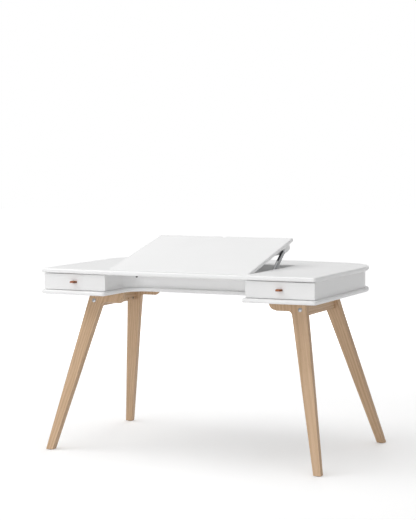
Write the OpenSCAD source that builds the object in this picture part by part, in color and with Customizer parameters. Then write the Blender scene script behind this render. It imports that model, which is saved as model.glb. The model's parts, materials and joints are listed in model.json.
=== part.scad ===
// Writing desk with a tilting centre panel, two drawers and a splayed leg frame.
// Millimetres. +Z is up, the sitter is on the -Y side, the floor is z = 0.
// Sizes along Y are laid out from the chord of the two drawer faces, and every
// module is then moved so that the origin lies under the middle of the desk.

/* [Desk top] */
// Width over the two side edges
top_w = 1196; // [1100:2:1300]
// Height of the writing surface above the floor
top_h = 750; // [700:5:780]
// Back edge at the centre, measured from the drawer faces
back_y = 741; // [700:1:800]
// Thickness of the top board
top_t = 18; // [16:1:22]
// Thickness of the bottom board
base_t = 16.5; // [14:0.5:20]
// Clear height between the two boards
bay_h = 69; // [60:1:90]
// How far both boards stand out past the walls
lip = 14; // [12:1:20]
// How far the front edge bows out at the centre
bow = 15; // [8:1:24]
// Corner radius at the front
front_r = 14; // [11:1:20]
// Corner radius at the back
back_r = 180; // [120:5:220]
// Radius of the long arc of the back edge
back_arc_r = 3000; // [2000:100:6000]
// Rounding of the board edges
edge_r = 6; // [3:0.5:6.5]

/* [Walls] */
// Thickness of the outer walls and the recess wall
wall_t = 15; // [13:1:18]
// Half width of the knee recess in the bottom board
recess_x = 297; // [295:1:305]
// Back edge of the knee recess in the bottom board
recess_y = 217; // [190:1:235]
// Corner radius of the knee recess
recess_r = 76; // [60:1:110]
// Thickness of the two partitions and the divider of the storage bay
partition_t = 10; // [8:1:12]
// Radius of the dark caps at the recess corners
cap_r = 4.5; // [3:0.5:6]
// Depth of those caps below the top board
cap_drop = 24.5; // [15:0.5:40]
// Direction of the caps from the corner's centre, turned from sideways to the back
cap_angle = 50.5; // [30:0.5:60]

/* [Tilting panel] */
// Width of the panel
panel_w = 610; // [570:2:612]
// Length of the panel from its hinged edge
panel_l = 457; // [420:1:470]
// Thickness of the panel
panel_t = 16; // [14:1:18]
// Rounding of the panel edges
panel_edge_r = 5; // [3:0.5:6]
// Radius of the panel's corners in plan
panel_corner_r = 6; // [6:0.5:10]
// Gap round the panel when it lies flat
panel_gap = 2; // [1.5:0.5:3]
// Tilt at which the panel stands
panel_tilt = 14.4; // [5:0.2:22]
// Hinge axis behind the drawer faces
hinge_y = 28; // [20:1:34]
// Width of the finger notch in the back edge
notch_w = 30; // [20:1:40]
// Depth of the finger notch
notch_d = 9; // [6:1:12]
// Length of a batten under the panel
batten_l = 174; // [150:2:190]
// Depth of a batten at its deep end
batten_h = 30; // [24:1:32]
// Thickness of a batten
batten_t = 18; // [14:1:22]
// Rounding of the deep end of a batten
batten_r = 12; // [6:1:14]
// Distance from the back end of a batten to the panel's back edge
batten_inset = 16; // [8:1:26]

/* [Hinges] */
// Length of one hinge
hinge_l = 60; // [40:2:80]
// Spacing of the three hinges
hinge_pitch = 225; // [180:5:250]
// Radius of the hinge barrel
barrel_r = 2.6; // [2.2:0.1:3]
// Radius of the hinge pin
hinge_pin_r = 1.2; // [1:0.1:1.4]
// Thickness of a hinge leaf
leaf_t = 1.1; // [0.8:0.1:1.3]
// Height of a hinge leaf below its axis
leaf_h = 12; // [10:1:13]

/* [Ratchet stays] */
// Pin on the batten, measured back from the hinge axis with the panel flat
stay_pin_y = 360; // [355:1:365]
// The same pin, below the hinge axis
stay_pin_z = 23; // [21:1:26]
// Foot stud of the stay behind the drawer faces
foot_y = 233; // [229:1:237]
// Foot stud of the stay above the bottom board
foot_z = 38; // [35:1:40]
// Width of the steel channel
channel_w = 10.5; // [9:0.5:12]
// Depth of the steel channel
channel_h = 16; // [15:0.5:20]
// Sheet thickness of the channel
channel_t = 1.6; // [1.2:0.1:2]
// Length of the channel from its pin to its mouth
channel_l = 118; // [105:1:122]
// Length of the toothed bar from its stud to its free end
rack_l = 126; // [112:1:128]
// Height of the toothed bar below the tooth roots
rack_h = 10; // [8:0.5:11]
// Pitch of the ratchet teeth
tooth_pitch = 8; // [6:0.5:10]
// Depth of the ratchet teeth
tooth_h = 4; // [3:0.5:5]
// Radius of the stay's pin and stud
stay_pin_r = 3; // [2.5:0.25:3.5]
// Run of the stud in the foot plate's slot
slot_run = 14.6; // [14:0.2:18]
// Slope of that slot below the horizontal
slot_angle = 19.3; // [18:0.1:21]
// Play of the stud across the slot, on each side
slot_play = 2; // [1.9:0.1:2.6]
// Thickness of the foot plate
plate_t = 3; // [2:0.5:3]

/* [Drawers] */
// Thickness of a drawer front
front_t = 18; // [15:1:20]
// How far a drawer front stands out past the walls at each end
front_over = 5; // [0:1:8]
// Rounding of the upright edges of a drawer front
front_edge_r = 2; // [1:0.5:4]
// Gap above and below a drawer front
front_gap = 1.5; // [1:0.5:3]
// Gap between a drawer front and the walls behind it
stop_gap = 1.5; // [1:0.5:3]
// Length of the drawer box behind the front
box_l = 385; // [340:5:400]
// Thickness of the drawer sides and back
side_t = 12; // [10:1:14]
// Thickness of the drawer bottom
floor_t = 4; // [3:1:6]
// Depth of the groove that holds the drawer bottom
groove_d = 5; // [3:1:6]
// Width of the leather pull
pull_w = 23; // [18:1:34]
// Length of the pull in front of the drawer face
pull_l = 24; // [18:1:36]
// Thickness of the leather
leather_t = 2.2; // [1.6:0.2:3]
// Space inside the fold of the pull
fold_gap = 2.8; // [2.4:0.2:5]
// Radius of the pin that holds the pull
pull_pin_r = 1.5; // [1:0.25:2]

/* [Leg frame] */
// Thickness of the leg boards and the rails
leg_t = 25; // [20:1:30]
// Lean of the front legs
front_lean = 14.2; // [10:0.2:18]
// Lean of the back legs
back_lean = 18.2; // [14:0.2:22]
// Front face of the front feet, behind the drawer faces
front_foot_y = 18.3; // [0:0.1:30]
// Front face of the back feet, behind the drawer faces
back_foot_y = 702.8; // [690:0.1:720]
// How far the front feet stand out past the top's side edge
front_out = 7.5; // [0:0.5:20]
// How far the back feet stand out past the top's side edge
back_out = 16.7; // [8:0.1:26]
// Distance from the top's side edge in to the outer edge of the legs, at the desk's underside
top_in = 120; // [104:1:126]
// Width of a foot
foot_w = 30.7; // [26:0.1:40]
// Width of a leg below its arm
knee_w = 64; // [58:1:80]
// Distance from the top's side edge in to the inner end of an arm
arm_in = 272; // [250:1:290]
// Depth of an arm
arm_h = 45; // [40:0.5:60]
// Rounding of the arm's nose
nose_r = 28; // [15:1:36]
// Fillet between arm and leg
knee_r = 25; // [15:1:35]
// Depth of the side rails
rail_h = 67; // [60:1:75]
// Distance from the top's side edge in to the middle of the side rails
rail_in = 139; // [133:1:148]
// Distance from the underside of the body down to the leg bolts, at the outer face of the leg
bolt_drop = 42; // [35:0.5:46]
// Radius of the bolt shank
bolt_r = 3; // [2.5:0.5:4]
// Radius of the bolt head
bolt_head_r = 7; // [5:0.5:8]
// Radius of the cross nuts
nut_r = 5; // [4.5:0.5:6]
// Distance of a cross nut from the end of its rail
nut_inset = 28; // [22:1:34]
// Distance of a screw pocket from the cross nut
pocket_step = 39; // [30:1:50]
// Distance of the first arm screw from the inner end of its arm
screw_inset = 30; // [24:1:40]
// Spacing of the two arm screws
screw_pitch = 55; // [40:1:60]
// Height of the glides under the feet
glide_h = 2; // [1:0.5:4]
// Radius of the glides
glide_r = 11; // [8:0.5:12]

/* [Hidden] */
$fn = 48;

white = [0.95, 0.95, 0.94];
oak = [0.80, 0.66, 0.48];
leather = [0.62, 0.33, 0.18];
zinc = [0.72, 0.73, 0.75];
dark = [0.16, 0.16, 0.17];
birch = [0.88, 0.80, 0.66];

// Heights
base_z = top_h - top_t - bay_h - base_t;
bolt_z = base_z - bolt_drop;
bay_z = base_z + base_t;
roof_z = top_h - top_t;

// Plan of the boards: centres of the arcs that make the outline
half_w = top_w / 2;
bow_r = (half_w * half_w + bow * bow) / (2 * bow);
front_c = [0, bow_r - lip - bow];
back_c = [0, back_y - back_arc_r];
front_corner = [half_w - front_r, front_c.y - sqrt(pow(bow_r - front_r, 2) - pow(half_w - front_r, 2))];
back_corner = [half_w - back_r, back_c.y + sqrt(pow(back_arc_r - back_r, 2) - pow(half_w - back_r, 2))];
mouth_corner = [recess_x + front_r, front_c.y - sqrt(pow(bow_r - front_r, 2) - pow(recess_x + front_r, 2))];
recess_corner = [recess_x - recess_r, recess_y - recess_r];
front_a = atan2(front_corner.y - front_c.y, front_corner.x);
back_a = atan2(back_corner.y - back_c.y, back_corner.x);
mouth_a = atan2(mouth_corner.y - front_c.y, mouth_corner.x);

// The panel lies flat in its window and turns about the hinge axis
axis_z = top_h - 3;
joint_half = leaf_t + 0.5;
panel_y0 = hinge_y + joint_half;
panel_y1 = panel_y0 + panel_l;
window_x = panel_w / 2 + panel_gap;
window_y0 = hinge_y - joint_half;
window_y1 = panel_y1 + panel_gap + 0.5;
window_r = 4;
groove_clear = 0.3;
running = 0.05;
cap_seat = 0.3;

// Storage bay under the panel
bay_x = window_x + 6;
divider_y = window_y1 + 4;

// Stays, seen from the side: the stud at the foot and the pin on the batten
stay_clear = 0.5;
channel_x1 = window_x - 2;
channel_x0 = channel_x1 - channel_w;
batten_x1 = channel_x0 - 1.5;
batten_x0 = batten_x1 - batten_t;
plate_x0 = bay_x - plate_t;
foot = [foot_y, bay_z + foot_z];
pin_flat = [hinge_y + stay_pin_y, axis_z - stay_pin_z];
pin_rest = tilted(pin_flat);
stay_v = pin_rest - foot;
stay_l = norm(stay_v);
stay_a = atan2(stay_v.y, stay_v.x);
rack_w = channel_w - 2 * channel_t - 2 * 0.25;
rack_x0 = (channel_x0 + channel_x1 - rack_w) / 2;
rack_floor = -channel_h / 2 + channel_t + 0.3;
pin_head_t = 1.3;
plate_hole_r = 2;
// The stud's path bows, so the slot starts a little in front of the stud and lies a little above it
slot_before = 1;
slot_rise = 0.4;
washer_t = 1.2;

// Drawers
box_gap = 4;
drawer_x0 = recess_x + lip + wall_t + box_gap;
drawer_x1 = half_w - lip - wall_t - box_gap;
front_x0 = recess_x + lip - front_over;
front_x1 = half_w - lip + front_over;
box_y1 = front_t + box_l;
runner_t = 4;
runner_h = 24;
runner_w = 16;
box_z0 = bay_z + runner_t + 0.3;
box_z1 = roof_z - 8;
floor_z = box_z0 + 6;
front_z0 = bay_z + front_gap;
front_z1 = roof_z - front_gap;
pull_x = (front_x0 + front_x1) / 2;
pull_z = (front_z0 + front_z1) / 2;
pull_h = 2 * leather_t + fold_gap;
pull_tail = 7;

// Legs and rails
front_reach = half_w + front_out;
back_reach = half_w + back_out;
top_reach = half_w - top_in;
arm_end = half_w - arm_in;
rail_x = half_w - rail_in;
rail_x0 = rail_x - leg_t / 2;
rail_z0 = base_z - rail_h;
bolt_l = leg_t + nut_inset + 10;
screw_r = 2.5;
screw_up = 11;

// The origin lies under the middle of the top board
y_mid = (back_y - lip - bow) / 2;

function tilted(p) = [hinge_y + (p.x - hinge_y) * cos(panel_tilt) - (p.y - axis_z) * sin(panel_tilt),
                      axis_z + (p.x - hinge_y) * sin(panel_tilt) + (p.y - axis_z) * cos(panel_tilt)];

// Points of an arc, with the first one left out where skip is 1
function arc(c, r, a0, a1, n, skip = 0) =
    [for (i = [skip:n]) c + r * [cos(a0 + (a1 - a0) * i / n), sin(a0 + (a1 - a0) * i / n)]];

function mirrored(half) = [for (i = [len(half) - 1:-1:0]) [-half[i].x, half[i].y]];
function inner_only(half) = [for (i = [1:len(half) - 2]) half[i]];

// Right half of the boards' outline, moved in by d, from the front centre to the back centre
function plain_start(d) = arc(front_c, bow_r - d, -90, front_a, 8);
function recess_start(d) = concat(
    [[0, recess_y + d]],
    arc(recess_corner, recess_r + d, 90, 0, 12),
    arc(mouth_corner, front_r - d, -180, mouth_a, 6),
    arc(front_c, bow_r - d, mouth_a, front_a, 5, 1));
function half_outline(d, recessed) = concat(
    recessed ? recess_start(d) : plain_start(d),
    arc(front_corner, front_r - d, front_a, 0, 5, 1),
    arc(back_corner, back_r - d, 0, back_a, 18),
    arc(back_c, back_arc_r - d, back_a, 90, 8, 1));
function board_outline(d, recessed) =
    let (half = half_outline(d, recessed))
    concat(half, mirrored(inner_only(half)));

// Rectangle with rounded corners, moved in by d
function box_outline(x, y0, y1, r, d) = concat(
    arc([x - r, y0 + r], r - d, -90, 0, 4),
    arc([x - r, y1 - r], r - d, 0, 90, 4),
    arc([-x + r, y1 - r], r - d, 90, 180, 4),
    arc([-x + r, y0 + r], r - d, 180, 270, 4));

function lifted(outline, z) = [for (p = outline) [p.x, p.y, z]];

// Rings of a slab whose upper and lower edges are rounded with radius e
function slab_rings(outline, t, e) = concat(
    [for (k = [0:4]) lifted(outline(e - e * cos(90 - 22.5 * k)), e - e * sin(90 - 22.5 * k))],
    [for (k = [0:4]) lifted(outline(e - e * cos(22.5 * k)), t - e + e * sin(22.5 * k))]);

// Faces that close a ring of n points, one face, or a ladder of faces on each half of a recessed ring
function cap(n, recessed) =
    let (m = n / 2 + 1, ladder = [for (i = [0:m / 2 - 2]) [i, i + 1, m - 2 - i, m - 1 - i]])
    recessed ? concat(ladder, [for (f = ladder) [for (i = [3:-1:0]) (n - f[i]) % n]]) : [[for (i = [0:n - 1]) i]];

// Closed skin over a stack of rings that have the same number of points
module loft(rings, recessed = false) {
    n = len(rings[0]);
    top = (len(rings) - 1) * n;
    lid = [for (f = cap(n, recessed)) [for (i = [len(f) - 1:-1:0]) top + f[i]]];
    sides = [for (j = [0:len(rings) - 2]) for (i = [0:n - 1])
        [j * n + i, (j + 1) * n + i, (j + 1) * n + (i + 1) % n, j * n + (i + 1) % n]];
    polyhedron(points = [for (ring = rings) each ring], faces = concat(cap(n, recessed), lid, sides));
}

module set_down() {
    translate([0, -y_mid, 0]) children();
}

// Left pieces are the mirror image of right pieces
module on_side(side) {
    mirror([side == "left" ? 1 : 0, 0, 0]) children();
}

// Places what is drawn with the panel flat at the panel's resting tilt
module on_panel() {
    translate([0, hinge_y, axis_z]) rotate([panel_tilt, 0, 0]) translate([0, -hinge_y, -axis_z]) children();
}

// Local +Y runs from the stay's foot stud to its upper pin
module along_stay() {
    translate([0, foot.x, foot.y]) rotate([stay_a, 0, 0]) children();
}

// Extrudes a drawing in the YZ plane from x to x + t
module side_plate(x, t) {
    translate([x, 0, 0]) rotate([90, 0, 90]) linear_extrude(t) children();
}

// Cylinder along X from x0 to x1
module rod(x0, x1, y, z, r) {
    translate([x0, y, z]) rotate([0, 90, 0]) cylinder(h = x1 - x0, r = r);
}

module top_board() {
    color(white) set_down() difference() {
        translate([0, 0, roof_z]) loft(slab_rings(function (d) board_outline(d, false), top_t, edge_r));
        translate([0, 0, roof_z]) window_cutter();
        hinge_grooves(window_y0 + 2);
    }
}

// Window for the panel, with its upper edge eased by 2 mm
module window_cutter() {
    ease = 2;
    loft(concat(
        [lifted(window_outline(0), -1), lifted(window_outline(0), top_t - ease)],
        [for (k = [1:3]) lifted(window_outline(ease - ease * cos(30 * k)), top_t - ease + ease * sin(30 * k))],
        [lifted(window_outline(ease), top_t + 1)]));
}

function window_outline(out) = box_outline(window_x, window_y0, window_y1, window_r, -out);

module hinge_grooves(y) {
    for (i = [-1:1])
        rod(i * hinge_pitch - hinge_l / 2 - groove_clear, i * hinge_pitch + hinge_l / 2 + groove_clear,
            hinge_y, axis_z, barrel_r + groove_clear);
}

module bottom_board() {
    color(white) set_down() difference() {
        translate([0, 0, base_z]) loft(slab_rings(function (d) board_outline(d, true), base_t, edge_r), true);
        frame_screw_shanks(0);
    }
}

// The side walls and the recess wall start behind the drawer fronts
wall_y0 = front_t + stop_gap;

module side_wall(side) {
    color(white) set_down() on_side(side)
        translate([half_w - lip - wall_t, wall_y0, bay_z])
            cube([wall_t, back_corner.y - wall_y0, bay_h]);
}

function back_half(d) = concat(
    arc(back_corner, back_r - d, 0, back_a, 18),
    arc(back_c, back_arc_r - d, back_a, 90, 8, 1));

module back_wall_plan() {
    outer = back_half(lip);
    inner = back_half(lip + wall_t);
    difference() {
        polygon(concat(outer, mirrored(outer)));
        polygon(concat(inner, mirrored(inner)));
    }
}

module back_wall() {
    color(white) set_down() translate([0, 0, bay_z]) linear_extrude(bay_h) back_wall_plan();
}

// Plan of the knee recess grown by d, from y0 to its back edge
module recess_plan(d, y0) {
    half = concat([[recess_x + d, y0]], arc(recess_corner, recess_r + d, 0, 90, 16));
    polygon(concat(half, mirrored(half)));
}

module recess_wall_plan() {
    difference() {
        recess_plan(lip + wall_t, wall_y0);
        recess_plan(lip, wall_y0 - 1);
    }
}

module recess_wall() {
    color(white) set_down() difference() {
        translate([0, 0, bay_z]) linear_extrude(bay_h) recess_wall_plan();
        at_caps() translate([0, 0, -1]) cylinder(h = wall_t - 3, r = cap_r - 2);
    }
}

// Places on the recess corners, looking out of the wall
module at_caps() {
    face_r = recess_r + lip;
    for (s = [-1, 1])
        translate([s * recess_corner.x, recess_corner.y, roof_z - cap_drop])
            rotate([0, 0, 90 - s * (90 - cap_angle)]) translate([face_r, 0, 0]) rotate([0, 90, 0]) children();
}

module wall_caps() {
    color(dark) set_down() at_caps() {
        translate([0, 0, -cap_seat - 1.4]) cylinder(h = 1.4, r = cap_r);
        translate([0, 0, -cap_seat - 0.5]) cylinder(h = wall_t - 5, r = cap_r - 2 - running);
    }
}

// The partitions start on the recess wall and end on the back wall, and are cut to both
partition_y0 = recess_corner.y - 0.5
    + sqrt(pow(recess_r + lip + wall_t, 2) - pow(bay_x + partition_t - recess_corner.x, 2));
partition_y1 = back_c.y + sqrt(pow(back_arc_r - lip - wall_t, 2) - pow(bay_x, 2)) + 0.5;

module partition(side) {
    color(white) set_down() on_side(side) translate([0, 0, bay_z]) linear_extrude(bay_h) difference() {
        translate([bay_x, partition_y0]) square([partition_t, partition_y1 - partition_y0]);
        recess_wall_plan();
        back_wall_plan();
    }
}

module divider() {
    color(white) set_down()
        translate([-bay_x, divider_y, bay_z]) cube([2 * bay_x, partition_t, bay_h]);
}

module tilt_panel() {
    notch_r = (pow(notch_w / 2, 2) + notch_d * notch_d) / (2 * notch_d);
    color(white) set_down() on_panel() difference() {
        translate([0, 0, top_h - panel_t])
            loft(slab_rings(function (d) box_outline(panel_w / 2, panel_y0, panel_y1, panel_corner_r, d), panel_t, panel_edge_r));
        translate([0, panel_y1 - notch_d + notch_r, top_h - panel_t - 1]) cylinder(h = panel_t + 2, r = notch_r);
        hinge_grooves();
    }
}

// Side view of a batten: a wedge that deepens to the back and ends in a round
module batten_shape() {
    y1 = panel_y1 - batten_inset;
    y0 = y1 - batten_l;
    under = top_h - panel_t;
    deep_y = y0 + batten_l * 0.7;
    polygon(concat(
        [[y0, under], [y0, under - 2], [deep_y, under - batten_h]],
        arc([y1 - batten_r, under - batten_h + batten_r], batten_r, 270, 360, 8),
        [[y1, under]]));
}

module batten(side) {
    color(white) set_down() on_side(side) on_panel() difference() {
        side_plate(batten_x0, batten_t) batten_shape();
        rod(batten_x1 - 12, batten_x1 + 1, pin_flat.x, pin_flat.y, stay_pin_r);
    }
}

// Three butt hinges, pins along X, leaves hanging in the joint
module hinge_leaves(y, knuckle, leaf_notch) {
    for (i = [-1:1]) translate([i * hinge_pitch, 0, 0]) difference() {
        union() {
            translate([-hinge_l / 2, y, axis_z - leaf_h]) cube([hinge_l, leaf_t, leaf_h]);
            for (k = knuckle) rod(k[0], k[1], hinge_y, axis_z, barrel_r);
        }
        for (k = leaf_notch) rod(k[0], k[1], hinge_y, axis_z, barrel_r + 0.2);
        rod(-hinge_l, hinge_l, hinge_y, axis_z, hinge_pin_r + running);
    }
}

knuckle_l = hinge_l / 3;
outer_knuckles = [[-hinge_l / 2, -knuckle_l / 2 - 0.2], [knuckle_l / 2 + 0.2, hinge_l / 2]];
inner_knuckle = [[-knuckle_l / 2, knuckle_l / 2]];
outer_space = [[-hinge_l / 2 - 1, -knuckle_l / 2], [knuckle_l / 2, hinge_l / 2 + 1]];
inner_space = [[-knuckle_l / 2 - 0.2, knuckle_l / 2 + 0.2]];

module hinge_strip_leaves() {
    color(zinc) set_down() hinge_leaves(window_y0, outer_knuckles, inner_space);
}

module hinge_panel_leaves() {
    color(zinc) set_down() on_panel() hinge_leaves(panel_y0 - leaf_t, inner_knuckle, outer_space);
}

module hinge_pins() {
    color(zinc) set_down() for (i = [-1:1])
        rod(i * hinge_pitch - hinge_l / 2, i * hinge_pitch + hinge_l / 2, hinge_y, axis_z, hinge_pin_r);
}

// Foot plate on the partition, with the slot that the stud runs in
module stay_plate(side) {
    slot_r = stay_pin_r + slot_play;
    margin = 9;
    color(zinc) set_down() on_side(side) side_plate(plate_x0, plate_t)
        translate([foot.x, foot.y]) rotate([0, 0, -slot_angle]) translate([-slot_before, slot_rise]) difference() {
            round_plate(-margin - slot_r, slot_run + margin + slot_r, slot_r + 6, 5);
            translate([0, -slot_r]) square([slot_run, 2 * slot_r]);
            for (y = [0, slot_run]) translate([y, 0]) circle(r = slot_r);
            for (y = [-slot_r - 4.5, slot_run + slot_r + 4.5]) translate([y, 0]) circle(r = plate_hole_r);
        }
}

// Flat plate from x0 to x1 with half height h and corners of radius r
module round_plate(x0, x1, h, r) {
    translate([x0, -h + r]) square([x1 - x0, 2 * (h - r)]);
    translate([x0 + r, -h]) square([x1 - x0 - 2 * r, 2 * h]);
    for (x = [x0 + r, x1 - r]) for (y = [-h + r, h - r]) translate([x, y]) circle(r = r);
}

// Steel channel, open towards the panel, hung on the batten's pin
module stay_channel(side) {
    half = channel_h / 2;
    color(dark) set_down() on_side(side) along_stay() difference() {
        union() {
            translate([channel_x0, stay_l - channel_l, -half]) cube([channel_w, channel_l, channel_h]);
            rod(channel_x0, channel_x1, stay_l, 0, half);
        }
        translate([channel_x0 + channel_t, stay_l - channel_l - 1, channel_t - half])
            cube([channel_w - 2 * channel_t, channel_l - 16, channel_h]);
        translate([channel_x0 + channel_t, stay_l - 18, channel_t - half])
            cube([channel_w - 2 * channel_t, 40, channel_h]);
        rod(channel_x0 - 1, channel_x1 + 1, stay_l, 0, stay_pin_r + running);
        for (k = [1:3])
            translate([(channel_x0 + channel_x1) / 2, stay_l - channel_l + 26 * k, -half - 1])
                cylinder(h = channel_t + 2, r = 2.2);
    }
}

// Sawtooth outline of the bar, drawn along +x from the stud
function tooth_points() =
    let (y0 = 16, root = rack_floor + rack_h, count = floor((rack_l - y0 - 4) / tooth_pitch))
    [for (i = [count - 1:-1:0]) each [[y0 + (i + 1) * tooth_pitch, root],
        [y0 + (i + 0.75) * tooth_pitch, root + tooth_h], [y0 + (i + 0.1) * tooth_pitch, root]]];

module stay_rack(side) {
    root = rack_floor + rack_h;
    eye_r = stay_pin_r + 4;
    color(zinc) set_down() on_side(side) along_stay() side_plate(rack_x0, rack_w) difference() {
        union() {
            polygon(concat([[0, -eye_r], [12, rack_floor], [rack_l, rack_floor], [rack_l, root]],
                tooth_points(), [[12, root], [0, eye_r]]));
            circle(r = eye_r);
        }
        circle(r = stay_pin_r);
    }
}

// Stud fixed in the bar, with a washer between the bar and the foot plate
module stay_stud(side) {
    color(zinc) set_down() on_side(side) along_stay() {
        rod(rack_x0, bay_x - stay_clear, 0, 0, stay_pin_r);
        rod(plate_x0 - washer_t - stay_clear, plate_x0 - stay_clear, 0, 0, stay_pin_r + 2.5);
    }
}

module stay_pin(side) {
    color(zinc) set_down() on_side(side) on_panel() {
        rod(batten_x1 - 12, channel_x1 + 0.1, pin_flat.x, pin_flat.y, stay_pin_r);
        rod(channel_x1 + 0.1, channel_x1 + pin_head_t, pin_flat.x, pin_flat.y, stay_pin_r + 2.5);
        rod(batten_x1, channel_x0 - 0.1, pin_flat.x, pin_flat.y, stay_pin_r + 1.5);
    }
}

// Flat drawer front with its upright edges rounded and a slit for the pull
module drawer_front(side) {
    r = front_edge_r;
    color(white) set_down() on_side(side) difference() {
        translate([0, 0, front_z0]) linear_extrude(front_z1 - front_z0) polygon(concat(
            [[front_x1, front_t], [front_x0, front_t]],
            arc([front_x0 + r, r], r, 180, 270, 4), arc([front_x1 - r, r], r, 270, 360, 4)));
        translate([pull_x - pull_w / 2 - 0.3, -2, pull_z - pull_h / 2 - 0.2])
            cube([pull_w + 0.6, front_t + 4, pull_h + 0.4]);
    }
}

// A drawer side starts on the back of the front
module drawer_side(side, x) {
    y0 = front_t + running;
    groove_x = x < pull_x ? x + side_t - groove_d : x - 1;
    color(birch) set_down() on_side(side) difference() {
        translate([x, y0, box_z0]) cube([side_t, box_y1 - y0, box_z1 - box_z0]);
        translate([groove_x, y0 - 1, floor_z]) cube([groove_d + 1, box_y1 - y0 + 2, floor_t]);
    }
}

module drawer_back(side) {
    color(birch) set_down() on_side(side)
        translate([drawer_x0 + side_t, box_y1 - side_t, floor_z + floor_t])
            cube([drawer_x1 - drawer_x0 - 2 * side_t, side_t, box_z1 - floor_z - floor_t]);
}

module drawer_floor(side) {
    x0 = drawer_x0 + side_t - groove_d;
    x1 = drawer_x1 - side_t + groove_d;
    y0 = front_t + running;
    color(birch) set_down() on_side(side) translate([x0, y0, floor_z]) cube([x1 - x0, box_y1 - y0, floor_t]);
}

// Leather strap folded over, its two ends led through the drawer front
module drawer_pull(side) {
    h = pull_h / 2;
    nose_y = h - pull_l;
    tail_y = front_t + pull_tail;
    tip_r = 9;
    color(leather) set_down() on_side(side) difference() {
        intersection() {
            side_plate(pull_x - pull_w / 2, pull_w) translate([0, pull_z]) difference() {
                union() {
                    translate([nose_y, -h]) square([tail_y - nose_y, 2 * h]);
                    translate([nose_y, 0]) circle(r = h);
                }
                translate([nose_y, -fold_gap / 2]) square([tail_y - nose_y + 1, fold_gap]);
                translate([nose_y, 0]) circle(r = fold_gap / 2);
            }
            translate([pull_x, -pull_l, pull_z - h - 1]) linear_extrude(pull_h + 2) {
                translate([-pull_w / 2, tip_r]) square([pull_w, pull_l + front_t + pull_tail]);
                translate([-pull_w / 2 + tip_r, 0]) square([pull_w - 2 * tip_r, tip_r + 1]);
                for (s = [-1, 1]) translate([s * (pull_w / 2 - tip_r), tip_r]) circle(r = tip_r);
            }
        }
        at_pull_pin() cylinder(h = 40, r = pull_pin_r, center = true);
    }
}

module at_pull_pin() {
    translate([pull_x, front_t + pull_pin_r + 0.3, pull_z]) children();
}

module drawer_pin(side) {
    color(dark) set_down() on_side(side) at_pull_pin() cylinder(h = pull_h + 6, r = pull_pin_r, center = true);
}

// Two guide strips of L section on the bottom board
module drawer_runners(side) {
    y0 = wall_y0 + 4;
    color(birch) set_down() on_side(side) for (inner = [true, false])
        translate([inner ? drawer_x0 - 3 : drawer_x1 + 3, box_y1 + 12, bay_z]) mirror([inner ? 0 : 1, 0, 0])
            rotate([90, 0, 0]) linear_extrude(box_y1 + 12 - y0)
                polygon([[0, 0], [runner_w, 0], [runner_w, runner_t], [2.6, runner_t], [2.6, runner_h], [0, runner_h]]);
}

// Outline of a leg board in its own plane: a foot, a tapering leg and an inward arm
function leg_outline(reach, lean) =
    let (
        over = leg_t * tan(abs(lean)) + 2,
        v_top = base_z / cos(lean),
        v_arm = (base_z - arm_h) / cos(lean),
        s_out = (reach - top_reach) / v_top,
        knee_x = reach - s_out * v_arm - knee_w,
        s_in = (reach - foot_w - knee_x) / v_arm,
        fillet = [knee_x + s_in * knee_r - knee_r * sqrt(1 + s_in * s_in), v_arm - knee_r]
    )
    concat(
        [[reach + s_out * over, -over], [reach - s_out * (v_top + over), v_top + over],
            [arm_end, v_top + over]],
        arc([arm_end + nose_r, v_arm + nose_r], nose_r, 180, 270, 10),
        arc(fillet, knee_r, 90, atan(s_in), 10),
        [[reach - foot_w + s_in * over, -over]]);

// The first spot is the board's front face on the floor, the sign of lean says which way it leans
module leg(side, reach, foot_y, lean) {
    color(oak) set_down() on_side(side) difference() {
        intersection() {
            translate([0, foot_y, 0]) rotate([90 - lean, 0, 0]) translate([0, 0, -leg_t])
                linear_extrude(leg_t) polygon(leg_outline(reach, lean));
            translate([0, 0, glide_h]) cube([top_w, 2 * back_y, base_z - glide_h]);
        }
        bolts(lean > 0 ? "front" : "back", bolt_r + 0.2, 0, leg_t + 1);
        frame_screw_shanks(0.2);
        frame_screw_bores();
    }
}

// Faces of the legs that the rails stand between
function front_leg_back_y(z) = front_foot_y + leg_t / cos(front_lean) + z * tan(front_lean);
function back_leg_front_y(z) = back_foot_y - z * tan(back_lean);

module rail(side) {
    color(oak) set_down() on_side(side) difference() {
        side_plate(rail_x0, leg_t) polygon([
            [front_leg_back_y(rail_z0), rail_z0], [back_leg_front_y(rail_z0), rail_z0],
            [back_leg_front_y(base_z), base_z], [front_leg_back_y(base_z), base_z]]);
        for (end = ["front", "back"]) {
            bolts(end, bolt_r + 0.2, 0, bolt_l + 1);
            at_bolt(end, leg_t + nut_inset) rod(-leg_t / 2 - 1, leg_t / 2 - 6, 0, 0, nut_r);
            at_pocket(end) rod(-leg_t / 2 - 1, 5, 0, 0, nut_r);
            pocket_screw(end, 0);
        }
    }
}

// A spot on a bolt's axis, at a depth below the outer face of the leg
module at_bolt(end, depth) {
    lean = end == "front" ? front_lean : -back_lean;
    face = end == "front" ? front_foot_y + bolt_z * tan(front_lean)
        : back_foot_y + leg_t / cos(back_lean) - bolt_z * tan(back_lean);
    way = end == "front" ? -1 : 1;
    translate([rail_x, face, bolt_z]) rotate([90 - lean, 0, 0]) translate([0, 0, way * depth])
        rotate([lean - 90, 0, 0]) children();
}

// Cylinders along a bolt's axis between two depths
module bolts(end, r, depth0, depth1) {
    lean = end == "front" ? front_lean : -back_lean;
    way = end == "front" ? 180 : 0;
    at_bolt(end, depth0) rotate([90 - lean, 0, 0]) rotate([way, 0, 0]) translate([0, 0, -1])
        cylinder(h = depth1 - depth0 + 1, r = r);
}

// The pocket lies further along the rail at the height of the cross nut
module at_pocket(end) {
    way = end == "front" ? 1 : -1;
    at_bolt(end, leg_t + nut_inset) translate([0, way * pocket_step, 0]) children();
}

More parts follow.
